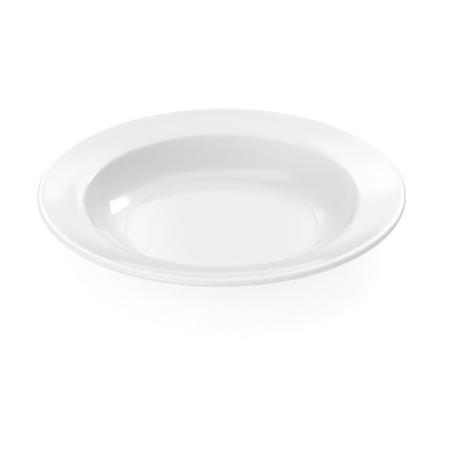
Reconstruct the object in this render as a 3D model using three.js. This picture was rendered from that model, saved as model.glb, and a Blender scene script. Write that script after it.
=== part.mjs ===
// A porcelain soup plate with a wide rim: a fired body with a foot ring, the glaze that covers it from the
// well to the foot, and the patch of glaze in the recess inside the foot ring. Millimetres, +Z up, with the
// origin at the middle of the surface that the plate stands on.
import * as THREE from "three";

// The finished, glazed plate
const PLATE_DIAMETER = 220;
const PLATE_HEIGHT = 36;
const LIP_THICKNESS = 4.1;

// Well and rim of the fired body: corners as they are before rounding. The roll is the steeper strip of the
// rim beside the well, and the land is the level strip that tops the lip.
const FLOOR_DIAMETER = 119;
const FLOOR_THICKNESS = 4.6;
const WELL_DIAMETER = 164.3;
const RIM_RISE = 7.1;
const ROLL_WIDTH = 3.1;
const ROLL_RISE = 1.2;
const WALL_THICKNESS = 4;
const WALL_BOW = 5.8;
const RIM_DISH = 0.6;
const LIP_LAND = 1.6;

// Rounding of those corners, and of the inner corner under the well's edge
const COVE_RADIUS = 7;
const BOWL_RADIUS = 34;
const WELL_EDGE_RADIUS = 3.5;
const ROLL_RADIUS = 23;
const RIM_RADIUS = 110;
const CROWN_RADIUS = 6;
const UNDER_EDGE_RADIUS = 9;

// Foot ring
const FOOT_DIAMETER = 116;
const FOOT_WIDTH = 4.6;
const FOOT_HEIGHT = 3;
const FOOT_DRAFT = THREE.MathUtils.degToRad(8);
const FOOT_EDGE_RADIUS = 0.8;
const FOOT_ROOT_RADIUS = 2.2;

// Glaze: its thickness, the height where it stops above the standing face, and the film between it and the
// body
const GLAZE_THICKNESS = 0.3;
const GLAZE_LINE = 1.1;
const GLAZE_CLEARANCE = 0.02;

// Facets: sides round the axis, and how far the chord of a rounded corner may lie inside its arc
const SIDES = 56;
const CHORD_ERROR = 0.1;

const FULL_TURN = 2 * Math.PI;
const QUARTER_TURN = FULL_TURN / 4;

// Sections are drawn in the plane of radius and height: a point's x is its radius and its y is its height.
const point = (radius, height) => new THREE.Vector2(radius, height);

// The unit normal on the left of the way from one point to another. The body's section runs with the body
// on its right, so this normal points out of the body.
function leftNormal(from, to) {
  const way = to.clone().sub(from).normalize();
  return point(-way.y, way.x);
}

// The corner where two sides meet once both have been moved to their right.
function insetCorner(before, corner, after, distance) {
  const first = leftNormal(before, corner);
  const second = leftNormal(corner, after);
  const stretch = distance / (1 + first.dot(second));
  return corner.clone().addScaledVector(first.add(second), -stretch);
}

// The point half-way between two others, moved off the straight line between them to its right.
function bowedMiddle(from, to, distance) {
  return from.clone().lerp(to, 0.5).addScaledVector(leftNormal(from, to), -distance);
}

// Where a line through a start, along a direction, meets a second line.
function crossing(start, direction, otherStart, otherDirection) {
  const reach = otherStart.clone().sub(start).cross(otherDirection) / direction.cross(otherDirection);
  return start.clone().addScaledVector(direction, reach);
}

// Where a line from a point touches a circle, on the right of the way to its centre.
function touchPoint(from, centre, radius) {
  const way = centre.clone().sub(from);
  const turn = -Math.asin(radius / way.length());
  const reach = Math.sqrt(way.lengthSq() - radius ** 2);
  return way.setLength(reach).rotateAround(point(0, 0), turn).add(from);
}

// An outline is a list of places on the body's section, each with the normal that points out of the body
// there. This one is an arc from a start, turning left by a positive angle or right by a negative one.
function arcOutline(centre, start, turn) {
  const spoke = start.clone().sub(centre);
  const step = 2 * Math.acos(1 - CHORD_ERROR / Math.max(spoke.length(), CHORD_ERROR));
  const count = Math.max(1, Math.ceil(Math.abs(turn) / step));
  return Array.from({ length: count + 1 }, (_, i) => {
    const turned = spoke.clone().rotateAround(point(0, 0), (turn * i) / count);
    const at = turned.clone().add(centre);
    return { at, out: turned.normalize().multiplyScalar(-Math.sign(turn)) };
  });
}

// An outline along corners, each a point and the radius that rounds it. Two roundings that would run into
// each other on the side between them share that side.
function roundedOutline(corners) {
  const places = corners.map(([place]) => place);
  const turns = places.map((place, i) => {
    if (i === 0 || i === places.length - 1) return 0;
    const arriving = place.clone().sub(places[i - 1]);
    const leaving = places[i + 1].clone().sub(place);
    return Math.atan2(arriving.cross(leaving), arriving.dot(leaving));
  });
  const cuts = corners.map(([, radius], i) => radius * Math.tan(Math.abs(turns[i]) / 2));
  return corners.flatMap(([place, radius], i) => {
    const side = Math.max(i, 1);
    const out = leftNormal(places[side - 1], places[side]);
    if (cuts[i] === 0) return [{ at: place, out }];
    const share = Math.min(
      1,
      place.distanceTo(places[i - 1]) / (cuts[i] + cuts[i - 1]),
      place.distanceTo(places[i + 1]) / (cuts[i] + cuts[i + 1]),
    );
    const back = places[i - 1].clone().sub(place).setLength(cuts[i] * share);
    const start = place.clone().add(back);
    const centre = start.clone().addScaledVector(out, Math.sign(turns[i]) * radius * share);
    return arcOutline(centre, start, turns[i]);
  });
}

// Outlines that follow each other end to end, as one.
const joined = (...outlines) => outlines.flatMap((outline, i) => outline.slice(i === 0 ? 0 : 1));

// An outline's points, raised off the body.
const raised = (outline, height) => outline.map(({ at, out }) => at.clone().addScaledVector(out, height));

// The corners of the upper side, from the floor's middle to the lip
const glazeBuild = GLAZE_CLEARANCE + GLAZE_THICKNESS;
const floorHeight = FOOT_HEIGHT + FLOOR_THICKNESS;
const lipRadius = LIP_THICKNESS / 2 - glazeBuild;
const lipCentre = point(PLATE_DIAMETER / 2 - LIP_THICKNESS / 2, PLATE_HEIGHT - LIP_THICKNESS / 2);
const lipTop = point(lipCentre.x, lipCentre.y + lipRadius);
const lipSide = point(lipCentre.x + lipRadius, lipCentre.y);
const floorMiddle = point(0, floorHeight);
const floorEdge = point(FLOOR_DIAMETER / 2, floorHeight);
const wellEdge = point(WELL_DIAMETER / 2, lipTop.y - RIM_RISE);
const wallMiddle = bowedMiddle(floorEdge, wellEdge, WALL_BOW);
const rollEdge = point(wellEdge.x + ROLL_WIDTH, wellEdge.y + ROLL_RISE);
const lipLand = point(lipTop.x - LIP_LAND, lipTop.y);
const rimMiddle = bowedMiddle(rollEdge, lipLand, RIM_DISH);

// The corners of the underside, from the lip to the foot ring
const rimThickness = (WALL_THICKNESS + 2 * lipRadius) / 2;
const underRim = insetCorner(wellEdge, rimMiddle, lipLand, rimThickness);
const underEdge = insetCorner(wallMiddle, wellEdge, rimMiddle, WALL_THICKNESS);
const underWall = insetCorner(floorEdge, wallMiddle, wellEdge, WALL_THICKNESS);
const lipEnd = touchPoint(underRim, lipCentre, lipRadius);

// The corners of the foot ring and of the recess inside it
const level = point(1, 0);
const wallSlope = wallMiddle.clone().sub(floorEdge);
const outerFace = point(Math.sin(FOOT_DRAFT), Math.cos(FOOT_DRAFT));
const innerFace = point(-outerFace.x, outerFace.y);
const footOuter = point(FOOT_DIAMETER / 2, 0);
const footInner = point(FOOT_DIAMETER / 2 - FOOT_WIDTH, 0);
const recessMiddle = point(0, FOOT_HEIGHT);
const glazeLine = point(0, GLAZE_LINE);
const footShoulder = crossing(footOuter, outerFace, underWall, wallSlope);
const footRoot = crossing(footInner, innerFace, recessMiddle, level);
const outerGlazeEnd = crossing(footOuter, outerFace, glazeLine, level);
const innerGlazeEnd = crossing(footInner, innerFace, glazeLine, level);

// The body's section, in the stretches that the glaze line parts
const bearing = (place) => place.clone().sub(lipCentre).angle();
const upperSide = roundedOutline([
  [floorMiddle, 0],
  [floorEdge, COVE_RADIUS],
  [wallMiddle, BOWL_RADIUS],
  [wellEdge, WELL_EDGE_RADIUS],
  [rollEdge, ROLL_RADIUS],
  [rimMiddle, RIM_RADIUS],
  [lipLand, CROWN_RADIUS],
  [lipTop, 0],
]);
const lip = joined(
  arcOutline(lipCentre, lipTop, -QUARTER_TURN),
  arcOutline(lipCentre, lipSide, bearing(lipEnd) - FULL_TURN),
);
const underside = roundedOutline([
  [lipEnd, 0],
  [underRim, RIM_RADIUS],
  [underEdge, UNDER_EDGE_RADIUS],
  [underWall, BOWL_RADIUS + WALL_THICKNESS],
  [footShoulder, FOOT_ROOT_RADIUS],
  [outerGlazeEnd, 0],
]);
const bareFoot = roundedOutline([
  [outerGlazeEnd, 0],
  [footOuter, FOOT_EDGE_RADIUS],
  [footInner, FOOT_EDGE_RADIUS],
  [innerGlazeEnd, 0],
]);
const recess = roundedOutline([
  [innerGlazeEnd, 0],
  [footRoot, FOOT_ROOT_RADIUS],
  [recessMiddle, 0],
]);
const glazedSide = joined(upperSide, lip, underside);
const recessFromMiddle = [...recess].reverse();

// A layer's section goes out from the axis along one of its faces and comes back along the other.
const layerSection = (outward, inward) => [...outward, ...inward.reverse()];

const bodySection = raised(joined(glazedSide, bareFoot, recess), 0);
const coatSection = layerSection(raised(glazedSide, glazeBuild), raised(glazedSide, GLAZE_CLEARANCE));
const baseSection = layerSection(
  raised(recessFromMiddle, GLAZE_CLEARANCE),
  raised(recessFromMiddle, glazeBuild),
);

const porcelain = new THREE.MeshStandardMaterial({ color: 0xece8e0, roughness: 0.7, metalness: 0 });
const glaze = new THREE.MeshStandardMaterial({ color: 0xf1eff1, roughness: 0.1, metalness: 0 });

// A piece turned about the plate's axis from a section that has the piece on its right. A lathe takes a
// section with the piece on its left, and turns it about Y.
function turnedPiece(name, section, material) {
  const geometry = new THREE.LatheGeometry([...section].reverse(), SIDES).rotateX(QUARTER_TURN);
  const mesh = new THREE.Mesh(geometry, material);
  mesh.name = name;
  return mesh;
}

const soupPlate = new THREE.Group();
soupPlate.add(
  turnedPiece("porcelain_body", bodySection, porcelain),
  turnedPiece("glaze_coat", coatSection, glaze),
  turnedPiece("base_glaze", baseSection, glaze),
);

export default soupPlate;
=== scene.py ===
# A white glazed porcelain soup plate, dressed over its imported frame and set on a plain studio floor.
import math
from collections import namedtuple

import bpy
from bpy.props import FloatProperty, FloatVectorProperty, PointerProperty
from mathutils import Matrix, Vector


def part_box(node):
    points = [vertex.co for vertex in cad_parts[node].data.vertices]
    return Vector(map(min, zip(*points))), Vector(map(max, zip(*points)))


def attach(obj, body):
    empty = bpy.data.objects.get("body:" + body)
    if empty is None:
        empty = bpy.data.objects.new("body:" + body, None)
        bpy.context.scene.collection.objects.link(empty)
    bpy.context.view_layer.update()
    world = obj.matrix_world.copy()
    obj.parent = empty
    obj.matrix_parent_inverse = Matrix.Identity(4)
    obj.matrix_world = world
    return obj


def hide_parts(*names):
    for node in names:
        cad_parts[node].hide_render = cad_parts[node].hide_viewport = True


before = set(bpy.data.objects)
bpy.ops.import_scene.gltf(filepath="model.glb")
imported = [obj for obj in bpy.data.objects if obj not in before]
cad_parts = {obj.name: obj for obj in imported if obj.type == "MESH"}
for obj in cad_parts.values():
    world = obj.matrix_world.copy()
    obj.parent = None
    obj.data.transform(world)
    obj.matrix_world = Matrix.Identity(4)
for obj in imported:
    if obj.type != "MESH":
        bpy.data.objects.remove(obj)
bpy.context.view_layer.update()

bl_info = {
    "name": "Soup Plate",
    "version": (1, 0, 0),
    "blender": (4, 5, 0),
    "location": "3D View > Sidebar > Soup Plate",
    "description": "A glazed porcelain soup plate with a wide rim, in a plain studio",
    "category": "Add Mesh",
}

MM = 0.001
FULL_TURN = 2 * math.pi
QUARTER_TURN = FULL_TURN / 4

COAT_LOW, COAT_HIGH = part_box("glaze_coat")

# How finely the round surfaces are divided
SIDES = 160
ARC_STEP = math.radians(6)
LONGEST_STEP = 2.2 * MM
SHARP_EDGE = math.radians(40)

# Glaze: how wide its clouds and its duller patches are and how much rougher those can be, and the width and
# depth of its slow ripple and of its fine peel
CLOUD_SIZE = 35 * MM
DULL_SIZE = 12 * MM
DULL_ROUGHNESS = 0.02
RIPPLE_SIZE = 28 * MM
RIPPLE_DEPTH = 0.012 * MM
PEEL_SIZE = 2.5 * MM
PEEL_DEPTH = 0.0012 * MM

# Thin glaze on the lip: how far in it reaches, in thicknesses of the lip, and the share of it that shows
# even without a cloud
THIN_REACH = 1.6
THIN_LEAST = 0.4

# Bare porcelain: the width and depth of its grain, the width of its rubbed patches, the levels of noise
# between which they fade in, and the heights between which they fade out
GRAIN_SIZE = 0.35 * MM
GRAIN_DEPTH = 0.03 * MM
PATCH_SIZE = 5 * MM
PATCH_FADE = (0.42, 0.62)
RUBBED_HEIGHT = (0.02 * MM, 0.25 * MM)

# How much grain and rubbing change the colour and the roughness of bare porcelain
GRAIN_TONE = 0.12
RUBBED_TONE = 0.4
GRAIN_ROUGHNESS = 0.15
RUBBED_POLISH = 0.2

# Refraction of the glaze and of the porcelain
REFRACTION = 1.5

# A Mix node's sockets for colours
MIX_FACTOR, MIX_FIRST, MIX_SECOND, MIX_RESULT = 0, 6, 7, 2

# The stage, in metres: the floor's width, and how far off the softboxes stand
FLOOR_WIDTH = 12
LIGHT_DISTANCE = 4

# Width of the camera's sensor, in millimetres
SENSOR_WIDTH = 36

# Softboxes, in degrees as the plate sees them: the bearing to the right from straight behind the plate, the
# height, the width and how tall they are
SOFTBOXES = {
    "window": (32.6, 39.8, 28.7, 36.5),
    "bright_window": (33.5, 31.5, 15, 21),
    "low_window": (10, 6.1, 19.6, 16),
    "back_panel": (5.5, 25.4, 63.5, 33.5),
    "upper_panel": (-0.8, 52, 65.3, 24),
    "overhead": (-8, 74.8, 68.3, 26.8),
    "side_panel": (-14.2, 35.1, 21.7, 24),
    "near_panel": (12.2, 32.4, 14.2, 27.9),
    "left_panel": (-105, 54.3, 51.8, 70.6),
    "front_panel": (-150, 6.5, 58.9, 17.7),
}

# How far a softbox's light fades towards its edges: up to 0.25, where it fades from the middle on
EDGE_FADE = 0.2

# Power of a panel for each square metre that makes it as bright as white
WHITE_PANEL = 4

# Between these heights the room grows brighter, as shares of the way up
ROOM_FADE = (0.08, 0.4)

# Rays that show the floor to the eye
SEEN_RAYS = ("Camera", "Glossy", "Transmission")


def length(name, description, default):
    """A length that a user may change, in metres."""
    return FloatProperty(
        name=name, description=description, default=default, min=0, precision=5, unit="LENGTH"
    )


def angle(name, description, degrees):
    """An angle that a user may change."""
    return FloatProperty(
        name=name, description=description, default=math.radians(degrees), subtype="ANGLE"
    )


def colour(name, description, default):
    """A linear colour that a user may change."""
    return FloatVectorProperty(
        name=name, description=description, default=default, size=3, min=0, max=1, subtype="COLOR"
    )


def share(name, description, default):
    """A number from 0 to 1 that a user may change."""
    return FloatProperty(name=name, description=description, default=default, min=0, max=1, subtype="FACTOR")


def brightness(name, description, default):
    """How bright a softbox or the room is: 1 is as bright as white."""
    return FloatProperty(name=name, description=description, default=default, min=0, soft_max=10)


class PlateSizes(bpy.types.PropertyGroup):
    """Real sizes of the plate. The body's corners are given as they are before rounding"""

    plate_diameter: length("Plate diameter", "Across the finished lip", COAT_HIGH.x - COAT_LOW.x)
    plate_height: length("Plate height", "From the table to the top of the lip", COAT_HIGH.z)
    lip_thickness: length("Lip thickness", "Across the finished, rounded lip", 4.1 * MM)
    floor_diameter: length("Floor diameter", "Across the flat floor of the well", 119 * MM)
    floor_thickness: length("Floor thickness", "Of the body under the well", 4.6 * MM)
    well_diameter: length("Well diameter", "Across the well's upper edge", 164.3 * MM)
    rim_rise: length("Rim rise", "From the well's edge up to the lip", 7.1 * MM)
    roll_width: length("Roll width", "Of the steeper strip of the rim beside the well", 3.1 * MM)
    roll_rise: length("Roll rise", "Of that strip", 1.2 * MM)
    wall_thickness: length("Wall thickness", "Of the body round the well", 4 * MM)
    wall_bow: length("Wall bow", "How far the well's wall bulges outwards", 5.8 * MM)
    rim_dish: length("Rim dish", "How far the rim sags between its edges", 0.6 * MM)
    lip_land: length("Lip land", "Of the level strip that tops the lip, before rounding", 1.6 * MM)
    cove_radius: length("Cove radius", "Between the well's floor and wall", 7 * MM)
    bowl_radius: length("Bowl radius", "Of the well's bowed wall", 34 * MM)
    well_edge_radius: length("Well edge radius", "Between the well's wall and the roll", 3.5 * MM)
    roll_radius: length("Roll radius", "Between the roll and the rim", 23 * MM)
    rim_radius: length("Rim radius", "Of the rim's dished upper side", 110 * MM)
    crown_radius: length("Crown radius", "Between the rim and the lip's land", 6 * MM)
    under_edge_radius: length("Under edge radius", "Under the well's edge", 9 * MM)
    foot_diameter: length("Foot diameter", "Across the foot ring's standing face", 116 * MM)
    foot_width: length("Foot width", "Of the foot ring's standing face", 4.6 * MM)
    foot_height: length("Foot height", "From the table to the recess inside the ring", 3 * MM)
    foot_draft: angle("Foot draft", "Slope of the foot ring's faces", 8)
    foot_edge_radius: length("Foot edge radius", "Of the standing face's edges", 0.8 * MM)
    foot_root_radius: length("Foot root radius", "Where the foot ring meets the plate", 2.2 * MM)
    glaze_thickness: length("Glaze thickness", "Of the fired glaze", 0.3 * MM)
    glaze_line: length("Glaze line", "Height where the glaze stops on the foot ring", 1.1 * MM)
    glaze_clearance: length("Glaze clearance", "Film between the glaze and the body", 0.02 * MM)
    glaze_edge_radius: length("Glaze edge radius", "Of the glaze where it stops", 0.26 * MM)


class PlateFinish(bpy.types.PropertyGroup):
    """Colours and gloss of the glaze and the bare porcelain"""

    glaze: colour("Glaze", "Glaze over the white body", (0.87, 0.846, 0.868))
    thin_glaze: colour("Thin glaze", "Where the glaze runs thin over the lip", (0.885, 0.86, 0.87))
    pooled_glaze: colour("Pooled glaze", "Where the glaze gathers in the cove", (0.845, 0.829, 0.856))
    gloss: share("Gloss roughness", "Roughness of the fired glaze", 0.05)
    body: colour("Bare porcelain", "Unglazed standing face of the foot ring", (0.80, 0.77, 0.71))
    worn_body: colour("Worn porcelain", "Standing face where it has rubbed on tables", (0.62, 0.59, 0.54))
    body_roughness: share("Bare roughness", "Roughness of the bare porcelain", 0.7)


class StudioSettings(bpy.types.PropertyGroup):
    """Floor, lights and camera"""

    camera_distance: length("Camera distance", "From the middle of the lip", 750 * MM)
    camera_height: angle("Camera height", "Of the camera above the lip, as an angle", 28.0)
    camera_dip: angle("Camera dip", "Of the camera's axis below the horizon", 29.77)
    camera_aside: angle("Camera aside", "Turn of the camera's axis to the right", 0.176)
    camera_roll: angle("Camera roll", "Turn of the camera about its own axis", 0.26)
    camera_lens: FloatProperty(
        name="Lens", description="Focal length", default=100.07, min=1, unit="CAMERA"
    )
    floor: share("Floor", "How much light the floor throws back on the plate", 0.64)
    floor_glow: share("Floor glow", "White of the floor to the eye, where no light falls on it", 0.76)
    floor_shade: share("Floor shade", "White that light adds there, and that a shadow takes away", 0.4)
    window: brightness("Window", "Softbox behind the plate on the right", 0.9)
    bright_window: brightness("Bright window", "Its brightest part, in its lower half", 3.2)
    low_window: brightness("Low window", "Its foot, low behind the plate on the right", 0.36)
    back_panel: brightness("Back panel", "Softbox straight behind the plate", 0.49)
    side_panel: brightness("Side panel", "Softbox behind the plate on the left", 0.95)
    near_panel: brightness("Near panel", "Softbox between the side panel and the window", 0.9)
    upper_panel: brightness("Upper panel", "Softbox above the back panel", 0.42)
    overhead: brightness("Overhead", "Softbox over the plate", 1.38)
    left_panel: brightness("Left panel", "Large softbox on the left", 0.26)
    front_panel: brightness("Front panel", "Low softbox at the front on the left", 4.94)
    room: brightness("Room", "Light from the rest of the room", 0.55)
    low_room: brightness("Low room", "Light from the room just above the floor", 0.39)


# Sections are drawn in the plane of radius and height: a point's x is its radius and its y is its height.
# The body's section runs with the body on its right. Each spot on it has the normal that points out of the
# body.
Spot = namedtuple("Spot", "at out")


def point(radius, height):
    """A point of a section."""
    return Vector((radius, height))


def turned(way, turn):
    """A way of a section, turned to the left."""
    return Matrix.Rotation(turn, 2) @ way


def left_normal(start, end):
    """The unit normal on the left of the way from one point to another."""
    return turned((end - start).normalized(), QUARTER_TURN)


def inset_corner(before, corner, after, distance):
    """The corner where two sides meet once both have been moved to their right."""
    first = left_normal(before, corner)
    second = left_normal(corner, after)
    return corner - (first + second) * (distance / (1 + first.dot(second)))


def bowed_middle(start, end, distance):
    """The point half-way between two others, moved off the line between them to its right."""
    return (start + end) / 2 - left_normal(start, end) * distance


def crossing(start, way, other_start, other_way):
    """Where a line through a start meets a second line."""
    reach = (other_start - start).cross(other_way) / way.cross(other_way)
    return start + way * reach


def touch_point(start, centre, radius):
    """Where a line from a start touches a circle, on the right of the way to its centre."""
    way = centre - start
    turn = -math.asin(radius / way.length)
    reach = math.sqrt(way.length_squared - radius**2)
    return start + turned(way.normalized() * reach, turn)


def arc_outline(centre, start, turn):
    """Spots along an arc from a start, turning left by a positive angle or right by a negative one."""
    spoke = start - centre
    steps = max(abs(turn) / ARC_STEP, abs(turn) * spoke.length / LONGEST_STEP)
    count = max(1, math.ceil(steps))
    side = -math.copysign(1, turn)
    spokes = [turned(spoke, turn * i / count) for i in range(count + 1)]
    return [Spot(centre + spoke, spoke.normalized() * side) for spoke in spokes]


def rounded_outline(corners):
    """Spots along corners, each a point and the radius that rounds it. Two roundings that would run into
    each other on the side between them share that side."""
    places = [place for place, _ in corners]
    turns = [0.0] * len(places)
    for i in range(1, len(places) - 1):
        arriving = places[i] - places[i - 1]
        leaving = places[i + 1] - places[i]
        turns[i] = math.atan2(arriving.cross(leaving), arriving.dot(leaving))
    cuts = [radius * math.tan(abs(turn) / 2) for (_, radius), turn in zip(corners, turns)]
    outline = []
    for i, (place, radius) in enumerate(corners):
        side = max(i, 1)
        out = left_normal(places[side - 1], places[side])
        if cuts[i] == 0:
            outline.append(Spot(place, out))
            continue
        share_before = (place - places[i - 1]).length / (cuts[i] + cuts[i - 1])
        share_after = (place - places[i + 1]).length / (cuts[i] + cuts[i + 1])
        cut_share = min(1, share_before, share_after)
        start = place + (places[i - 1] - place).normalized() * cuts[i] * cut_share
        centre = start + out * math.copysign(radius * cut_share, turns[i])
        outline.extend(arc_outline(centre, start, turns[i]))
    return filled(outline)


def filled(outline):
    """An outline with spots added along its straight stretches."""
    full = outline[:1]
    for before, after in zip(outline, outline[1:]):
        count = math.ceil((after.at - before.at).length / LONGEST_STEP)
        full.extend(Spot(before.at.lerp(after.at, i / count), after.out) for i in range(1, count))
        full.append(after)
    return full


def joined(*outlines):
    """Outlines that follow each other end to end, as one."""
    return outlines[0] + [spot for outline in outlines[1:] for spot in outline[1:]]


def raised(outline, height):
    """An outline's points, raised off the body."""
    return [spot.at + spot.out * height for spot in outline]


class PlateSection:
    """The section of the fired body, in the stretches that the glaze line parts."""

    def __init__(self, size):
        self.size = size
        self.glaze_build = size.glaze_clearance + size.glaze_thickness
        lip_radius = size.lip_thickness / 2 - self.glaze_build
        lip_centre = point(
            (size.plate_diameter - size.lip_thickness) / 2, size.plate_height - size.lip_thickness / 2
        )
        lip_top = lip_centre + point(0, lip_radius)
        lip_side = lip_centre + point(lip_radius, 0)

        floor_height = size.foot_height + size.floor_thickness
        floor_edge = point(size.floor_diameter / 2, floor_height)
        well_edge = point(size.well_diameter / 2, lip_top.y - size.rim_rise)
        wall_middle = bowed_middle(floor_edge, well_edge, size.wall_bow)
        roll_edge = well_edge + point(size.roll_width, size.roll_rise)
        lip_land = lip_top - point(size.lip_land, 0)
        rim_middle = bowed_middle(roll_edge, lip_land, size.rim_dish)

        rim_thickness = (size.wall_thickness + 2 * lip_radius) / 2
        under_rim = inset_corner(well_edge, rim_middle, lip_land, rim_thickness)
        under_edge = inset_corner(wall_middle, well_edge, rim_middle, size.wall_thickness)
        under_wall = inset_corner(floor_edge, wall_middle, well_edge, size.wall_thickness)
        lip_end = touch_point(under_rim, lip_centre, lip_radius)

        level = point(1, 0)
        outer_face = point(math.sin(size.foot_draft), math.cos(size.foot_draft))
        inner_face = point(-outer_face.x, outer_face.y)
        foot_outer = point(size.foot_diameter / 2, 0)
        foot_inner = foot_outer - point(size.foot_width, 0)
        recess_middle = point(0, size.foot_height)
        glaze_line = point(0, size.glaze_line)
        foot_shoulder = crossing(foot_outer, outer_face, under_wall, wall_middle - floor_edge)
        foot_root = crossing(foot_inner, inner_face, recess_middle, level)
        outer_glaze_end = crossing(foot_outer, outer_face, glaze_line, level)
        inner_glaze_end = crossing(foot_inner, inner_face, glaze_line, level)

        def bearing(place):
            spoke = place - lip_centre
            return math.atan2(spoke.y, spoke.x) % FULL_TURN

        upper_side = rounded_outline([
            (point(0, floor_height), 0),
            (floor_edge, size.cove_radius),
            (wall_middle, size.bowl_radius),
            (well_edge, size.well_edge_radius),
            (roll_edge, size.roll_radius),
            (rim_middle, size.rim_radius),
            (lip_land, size.crown_radius),
            (lip_top, 0),
        ])
        lip = joined(
            arc_outline(lip_centre, lip_top, -QUARTER_TURN),
            arc_outline(lip_centre, lip_side, bearing(lip_end) - FULL_TURN),
        )
        underside = rounded_outline([
            (lip_end, 0),
            (under_rim, size.rim_radius),
            (under_edge, size.under_edge_radius),
            (under_wall, size.bowl_radius + size.wall_thickness),
            (foot_shoulder, size.foot_root_radius),
            (outer_glaze_end, 0),
        ])
        self.glazed_side = joined(upper_side, lip, underside)
        self.bare_foot = rounded_outline([
            (outer_glaze_end, 0),
            (foot_outer, size.foot_edge_radius),
            (foot_inner, size.foot_edge_radius),
            (inner_glaze_end, 0),
        ])
        self.recess = rounded_outline([
            (inner_glaze_end, 0),
            (foot_root, size.foot_root_radius),
            (recess_middle, 0),
        ])

    def body(self):
        """The whole fired body."""
        return raised(joined(self.glazed_side, self.bare_foot, self.recess), 0)

    def glaze_coat(self):
        """The glaze from the well over the lip to the foot ring."""
        return self.glaze_layer(self.glazed_side)

    def recess_glaze(self):
        """The glaze in the recess, whose outline runs in to the axis."""
        return self.glaze_layer(self.recess[::-1])[::-1]

    def glaze_layer(self, outline):
        """A layer of glaze on an outline that runs out from the axis, with a rounded edge where it stops."""
        outer = raised(outline, self.glaze_build)
        inner = raised(outline, self.size.glaze_clearance)
        edge = [(outer[-2], 0), (outer[-1], self.size.glaze_edge_radius), (inner[-1], 0)]
        return outer[:-2] + raised(rounded_outline(edge), 0) + inner[-2::-1]


def turned_mesh(name, section):
    """A mesh turned about Z from a section that starts and ends on the axis, with the piece on its right."""
    places = []
    rings = []
    for place in section:
        around = SIDES if place.x > 0 else 1
        rings.append([len(places) + side for side in range(around)])
        for side in range(around):
            turn = FULL_TURN * side / SIDES
            places.append((place.x * math.sin(turn), -place.x * math.cos(turn), place.y))
    faces = []
    for ring, following in zip(rings, rings[1:]):
        for side in range(SIDES):
            corners = [ring[side % len(ring)], following[side % len(following)]]
            corners += [following[(side + 1) % len(following)], ring[(side + 1) % len(ring)]]
            faces.append(list(dict.fromkeys(corners)))
    mesh = bpy.data.meshes.new(name)
    mesh.from_pydata(places, [], faces)
    mesh.shade_smooth()
    mesh.set_sharp_from_angle(angle=SHARP_EDGE)
    return mesh


def turned_piece(name, section, node, material):
    """Adds a piece turned from a section, which stands for a node of the frame."""
    mesh = turned_mesh(name, section)
    mesh.materials.append(material)
    piece = bpy.data.objects.new(name, mesh)
    bpy.context.scene.collection.objects.link(piece)
    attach(piece, "root")
    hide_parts(node)


class Wire:
    """An output of a node, for expressions: arithmetic on it adds Math nodes."""

    def __init__(self, recipe, socket):
        self.recipe = recipe
        self.socket = socket

    def math(self, operation, *terms):
        """A Math node on these terms."""
        return self.recipe.node("Math", {"operation": operation}, dict(enumerate(terms)))

    def larger(self, other):
        """The larger of two values."""
        return self.math("MAXIMUM", self, other)

    def __add__(self, other):
        return self.math("ADD", self, other)

    def __sub__(self, other):
        return self.math("SUBTRACT", self, other)

    def __rsub__(self, other):
        return self.math("SUBTRACT", other, self)

    def __mul__(self, other):
        return self.math("MULTIPLY", self, other)

    def __truediv__(self, other):
        return self.math("DIVIDE", self, other)

    def __rtruediv__(self, other):
        return self.math("DIVIDE", other, self)

    def __pow__(self, other):
        return self.math("POWER", self, other)

    def __rpow__(self, other):
        return self.math("POWER", other, self)

    __radd__ = __add__
    __rmul__ = __mul__


class Recipe:
    """A node tree that is being filled."""

    def __init__(self, tree):
        self.tree = tree
        tree.nodes.clear()

    def node(self, kind, settings=None, sockets=None, output=0):
        """Adds a node, with its settings first and then the values or links of its sockets."""
        made = self.tree.nodes.new("ShaderNode" + kind)
        for name, value in (settings or {}).items():
            setattr(made, name, value)
        for name, value in (sockets or {}).items():
            if isinstance(value, Wire):
                self.tree.links.new(value.socket, made.inputs[name])
            else:
                made.inputs[name].default_value = value
        return Wire(self, made.outputs[output]) if made.outputs else None

    def parts(self, vector):
        """A vector's three values."""
        first = self.node("SeparateXYZ", None, {"Vector": vector})
        return [Wire(self, socket) for socket in first.socket.node.outputs]

    def mixed(self, first, second, factor):
        """A colour between two others."""
        sockets = {MIX_FACTOR: factor, MIX_FIRST: first, MIX_SECOND: second}
        return self.node("Mix", {"data_type": "RGBA"}, sockets, MIX_RESULT)

    def step(self, value, start, end):
        """Rises smoothly from 0 to 1 as a value goes from start to end."""
        sockets = {"Value": value, "From Min": start, "From Max": end}
        return self.node("MapRange", {"interpolation_type": "SMOOTHSTEP"}, sockets)

    def noise(self, place, size, detail=2.0):
        """Noise from 0 to 1 with patches of about this size, and this many finer layers in them."""
        return self.node("TexNoise", None, {"Vector": place, "Scale": 1 / size, "Detail": detail})

    def seen(self):
        """1 for rays that show a thing to the eye, straight or mirrored, and 0 for those that only light."""
        path = self.node("LightPath").socket.node.outputs
        straight, mirrored, through = [Wire(self, path[f"Is {kind} Ray"]) for kind in SEEN_RAYS]
        return straight.larger(mirrored).larger(through)

    def bump(self, height, depth, normal=None):
        """A normal that follows a height from 0 to 1, which stands for this depth."""
        sockets = {"Height": height, "Distance": depth, "Strength": 1.0}
        if normal:
            sockets["Normal"] = normal
        return self.node("Bump", None, sockets)

    def surface(self, sockets):
        """Ends a material's tree in a surface."""
        self.node("OutputMaterial", None, {"Surface": self.node("BsdfPrincipled", None, sockets)})


def opaque(rgb):
    """A colour with its alpha."""
    return (*rgb, 1.0)


def grey(level):
    """A grey with its alpha."""
    return opaque((level, level, level))


def material_recipe(name):
    """A new material, and the recipe that fills its tree."""
    material = bpy.data.materials.new(name)
    material.use_nodes = True
    return material, Recipe(material.node_tree)


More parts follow.
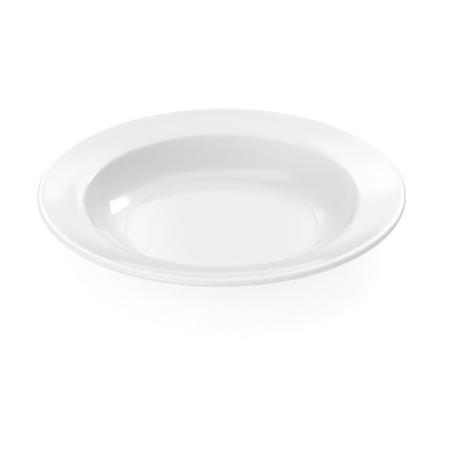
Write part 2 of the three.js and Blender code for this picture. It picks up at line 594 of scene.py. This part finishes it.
def glaze_material(finish, size):
    """Clear glossy glaze over a white body: a trace thinner over the lip and thicker in the cove."""
    material, recipe = material_recipe("glazed_porcelain")
    place = recipe.node("TexCoord", None, None, "Object")
    x, y, _ = recipe.parts(place)
    radius = (x * x + y * y) ** 0.5
    lip_edge = size.plate_diameter / 2
    thin = recipe.step(radius, lip_edge - THIN_REACH * size.lip_thickness, lip_edge)
    cove = (radius - size.floor_diameter / 2) / size.cove_radius
    pooled = recipe.step(1 - cove * cove, 0.0, 1.0)
    clouds = recipe.noise(place, CLOUD_SIZE)
    thinned = thin * (THIN_LEAST + clouds * (1 - THIN_LEAST))
    tone = recipe.mixed(opaque(finish.glaze), opaque(finish.pooled_glaze), pooled * clouds)
    ripple = recipe.bump(recipe.noise(place, RIPPLE_SIZE, detail=0.0), RIPPLE_DEPTH)
    peel = recipe.bump(recipe.noise(place, PEEL_SIZE, detail=1.0), PEEL_DEPTH, ripple)
    recipe.surface({
        "Base Color": recipe.mixed(tone, opaque(finish.thin_glaze), thinned),
        "Roughness": finish.gloss + recipe.noise(place, DULL_SIZE) * DULL_ROUGHNESS,
        "IOR": REFRACTION,
        "Normal": peel,
    })
    return material


def bare_material(finish):
    """Fired porcelain without glaze: fine matt grain, and rubbed patches on the standing face."""
    material, recipe = material_recipe("bare_porcelain")
    place = recipe.node("TexCoord", None, None, "Object")
    _, _, height = recipe.parts(place)
    grain = recipe.noise(place, GRAIN_SIZE, detail=4.0)
    patches = recipe.noise(place, PATCH_SIZE, detail=3.0)
    standing = 1 - recipe.step(height, *RUBBED_HEIGHT)
    rubbed = standing * recipe.step(patches, *PATCH_FADE)
    darker = rubbed * RUBBED_TONE + grain * GRAIN_TONE
    recipe.surface({
        "Base Color": recipe.mixed(opaque(finish.body), opaque(finish.worn_body), darker),
        "Roughness": finish.body_roughness + grain * GRAIN_ROUGHNESS - rubbed * RUBBED_POLISH,
        "IOR": REFRACTION,
        "Normal": recipe.bump(grain, GRAIN_DEPTH),
    })
    return material


class SOUPPLATE_OT_fired_body(bpy.types.Operator):
    """Turns the fired body, which shows bare on the foot ring"""

    bl_idname = "soup_plate.fired_body"
    bl_label = "Fired Body"

    def execute(self, context):
        section = PlateSection(context.scene.soup_plate_sizes)
        material = bare_material(context.scene.soup_plate_finish)
        turned_piece("fired_body", section.body(), "porcelain_body", material)
        return {"FINISHED"}


class SOUPPLATE_OT_glaze(bpy.types.Operator):
    """Lays the glaze over the plate and in the recess inside the foot ring"""

    bl_idname = "soup_plate.glaze"
    bl_label = "Glaze"

    def execute(self, context):
        size = context.scene.soup_plate_sizes
        section = PlateSection(size)
        material = glaze_material(context.scene.soup_plate_finish, size)
        turned_piece("plate_glaze", section.glaze_coat(), "glaze_coat", material)
        turned_piece("recess_glaze", section.recess_glaze(), "base_glaze", material)
        return {"FINISHED"}


def floor_material(studio):
    """A floor that is white to the eye, keeps a faint shadow and throws some light back on the plate."""
    material, recipe = material_recipe("studio_floor")
    seen = recipe.seen()
    recipe.surface({
        "Base Color": recipe.mixed(grey(studio.floor), grey(studio.floor_shade), seen),
        "Roughness": 1.0,
        "Specular IOR Level": 0.0,
        "Emission Color": recipe.mixed(grey(0.0), grey(studio.floor_glow), seen),
        "Emission Strength": 1.0,
    })
    return material


def add_floor(studio):
    """The floor that the plate stands on."""
    half = FLOOR_WIDTH / 2
    mesh = bpy.data.meshes.new("studio_floor")
    corners = [(-half, -half, 0), (half, -half, 0), (half, half, 0), (-half, half, 0)]
    mesh.from_pydata(corners, [], [(0, 1, 2, 3)])
    mesh.materials.append(floor_material(studio))
    floor = bpy.data.objects.new("studio_floor", mesh)
    bpy.context.scene.collection.objects.link(floor)


def add_softbox(name, bearing, height, width, tall, bright):
    """A softbox that faces the plate, brightest in its middle and faded at its edges."""
    lamp = bpy.data.lights.new(name, "AREA")
    lamp.shape = "RECTANGLE"
    lamp.size = 2 * LIGHT_DISTANCE * math.tan(math.radians(width / 2))
    lamp.size_y = 2 * LIGHT_DISTANCE * math.tan(math.radians(tall / 2))
    lamp.energy = WHITE_PANEL * lamp.size * lamp.size_y * bright
    lamp.use_nodes = True
    recipe = Recipe(lamp.node_tree)
    across, up, _ = recipe.parts(recipe.node("TexCoord", None, None, "UV"))
    inside_sides = recipe.step(across * (1 - across), 0.0, EDGE_FADE)
    inside_ends = recipe.step(up * (1 - up), 0.0, EDGE_FADE)
    tone = recipe.mixed(grey(0.0), grey(1.0), inside_sides * inside_ends)
    glow = recipe.node("Emission", None, {"Color": tone})
    recipe.node("OutputLight", None, {"Surface": glow})
    box = bpy.data.objects.new(name, lamp)
    turn = Matrix.Rotation(-math.radians(bearing), 4, "Z")
    tilt = Matrix.Rotation(math.radians(height) - QUARTER_TURN, 4, "X")
    box.matrix_world = turn @ tilt @ Matrix.Translation((0, 0, LIGHT_DISTANCE))
    bpy.context.scene.collection.objects.link(box)


def add_room(studio):
    """The room's own pale light, which is even but for a dimmer band above the floor."""
    world = bpy.data.worlds.new("studio_room")
    bpy.context.scene.world = world
    world.use_nodes = True
    recipe = Recipe(world.node_tree)
    _, _, height = recipe.parts(recipe.node("TexCoord", None, None, "Generated"))
    tone = recipe.mixed(grey(studio.low_room), grey(studio.room), recipe.step(height, *ROOM_FADE))
    light = recipe.node("Background", None, {"Color": tone, "Strength": 1.0})
    recipe.node("OutputWorld", None, {"Surface": light})


def add_camera(studio, size):
    """The camera, aimed from its place above and in front of the lip."""
    lens = bpy.data.cameras.new("camera")
    lens.lens = studio.camera_lens
    lens.sensor_width = SENSOR_WIDTH
    camera = bpy.data.objects.new("camera", lens)
    bpy.context.scene.collection.objects.link(camera)
    lip = Vector((0, 0, size.plate_height - size.lip_thickness / 2))
    back = Vector((0, -math.cos(studio.camera_height), math.sin(studio.camera_height)))
    place = Matrix.Translation(lip + back * studio.camera_distance)
    aside = Matrix.Rotation(-studio.camera_aside, 4, "Z")
    dip = Matrix.Rotation(QUARTER_TURN - studio.camera_dip, 4, "X")
    roll = Matrix.Rotation(-studio.camera_roll, 4, "Z")
    camera.matrix_world = place @ aside @ dip @ roll
    bpy.context.scene.camera = camera


class SOUPPLATE_OT_studio(bpy.types.Operator):
    """Sets up the floor, the lights and the camera"""

    bl_idname = "soup_plate.studio"
    bl_label = "Studio"

    def execute(self, context):
        scene = context.scene
        studio = scene.soup_plate_studio
        scene.view_settings.view_transform = "Standard"
        add_floor(studio)
        for name, placing in SOFTBOXES.items():
            add_softbox(name, *placing, getattr(studio, name))
        add_room(studio)
        add_camera(studio, scene.soup_plate_sizes)
        return {"FINISHED"}


class SOUPPLATE_PT_panel(bpy.types.Panel):
    """Lists the pieces, the stage and their settings"""

    bl_idname = "SOUPPLATE_PT_panel"
    bl_label = "Soup Plate"
    bl_space_type = "VIEW_3D"
    bl_region_type = "UI"
    bl_category = "Soup Plate"

    def draw(self, context):
        for operator in OPERATORS:
            self.layout.operator(operator.bl_idname)
        for name in SETTINGS:
            settings = getattr(context.scene, name)
            for key in settings.bl_rna.properties.keys():
                if key not in ("rna_type", "name"):
                    self.layout.prop(settings, key)


OPERATORS = (SOUPPLATE_OT_fired_body, SOUPPLATE_OT_glaze, SOUPPLATE_OT_studio)
SETTINGS = {
    "soup_plate_sizes": PlateSizes,
    "soup_plate_finish": PlateFinish,
    "soup_plate_studio": StudioSettings,
}
CLASSES = (*SETTINGS.values(), *OPERATORS, SOUPPLATE_PT_panel)


def register():
    """Adds the classes and the scene's settings."""
    for kind in CLASSES:
        bpy.utils.register_class(kind)
    for name, kind in SETTINGS.items():
        setattr(bpy.types.Scene, name, PointerProperty(type=kind))


def unregister():
    """Takes the scene's settings and the classes away."""
    for name in SETTINGS:
        delattr(bpy.types.Scene, name)
    for kind in reversed(CLASSES):
        bpy.utils.unregister_class(kind)


def main():
    """Builds the plate and its studio."""
    register()
    bpy.ops.soup_plate.fired_body()
    bpy.ops.soup_plate.glaze()
    bpy.ops.soup_plate.studio()


if __name__ == "__main__":
    main()
